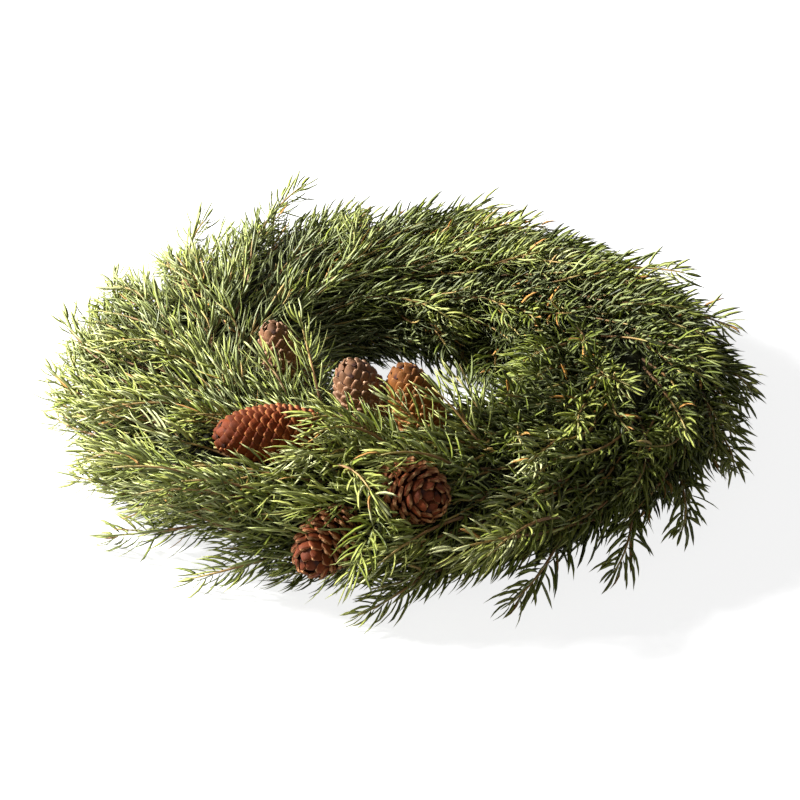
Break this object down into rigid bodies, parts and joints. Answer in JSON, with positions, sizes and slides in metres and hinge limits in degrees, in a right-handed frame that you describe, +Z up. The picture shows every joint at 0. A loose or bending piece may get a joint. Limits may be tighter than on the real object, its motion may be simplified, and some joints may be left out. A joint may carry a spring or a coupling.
{
  "type": "evergreen wreath",
  "caption": "Round fresh wreath of needle-leaved evergreen sprigs wired in overlapping bunches on a ring frame, with pine cones nestled among them.",
  "frame": {"origin": "middle of the ring, on the surface that the wreath lies on", "axes": "+Z up out of the face that shows, +X to the right and +Y away from the viewer, with the cones on the -Y side"},
  "size_m": [0.563, 0.5536, 0.124],
  "materials": {
    "greens": "waxy leaves, satin on top and duller below",
    "sprays": "waxy leaves on thin tan stems",
    "cones": "dry woody scales, matte with a faint sheen",
    "frame": "dark green enamel on steel wire",
    "binding": "green enamelled floral wire",
    "picks": "bare florist's wire"
  },
  "bodies": {
    "root": {"binding_wire": "binding", "cone_pick_front": "picks", "cone_pick_inner_left": "picks", "cone_pick_inner_right": "picks", "cone_pick_low_front": "picks", "cone_pick_small_inner": "picks", "cone_pick_top_left": "picks", "frame_bar_01": "frame", "frame_bar_02": "frame", "frame_bar_03": "frame", "frame_bar_04": "frame", "frame_bar_05": "frame", "frame_bar_06": "frame", "frame_ring_lower_inner": "frame", "frame_ring_lower_outer": "frame", "frame_ring_upper_inner": "frame", "frame_ring_upper_outer": "frame", "greens_bunch_01": "greens", "greens_bunch_02": "greens", "greens_bunch_03": "greens", "greens_bunch_04": "greens", "greens_bunch_05": "greens", "greens_bunch_06": "greens", "greens_bunch_07": "greens", "greens_bunch_08": "greens", "greens_bunch_09": "greens", "greens_bunch_10": "greens", "greens_bunch_11": "greens", "greens_bunch_12": "greens", "greens_bunch_13": "greens", "greens_bunch_14": "greens", "greens_bunch_15": "greens", "greens_bunch_16": "greens", "pine_cone_front": "cones", "pine_cone_inner_left": "cones", "pine_cone_inner_right": "cones", "pine_cone_low_front": "cones", "pine_cone_small_inner": "cones", "pine_cone_top_left": "cones", "spray_01": "sprays", "spray_02": "sprays", "spray_03": "sprays", "spray_04": "sprays", "spray_05": "sprays", "spray_06": "sprays", "spray_07": "sprays", "spray_08": "sprays", "spray_09": "sprays", "spray_10": "sprays", "spray_11": "sprays", "spray_12": "sprays", "spray_13": "sprays", "spray_14": "sprays", "spray_15": "sprays", "spray_16": "sprays", "spray_17": "sprays", "spray_18": "sprays", "spray_19": "sprays", "spray_20": "sprays"}
  },
  "joints": []
}
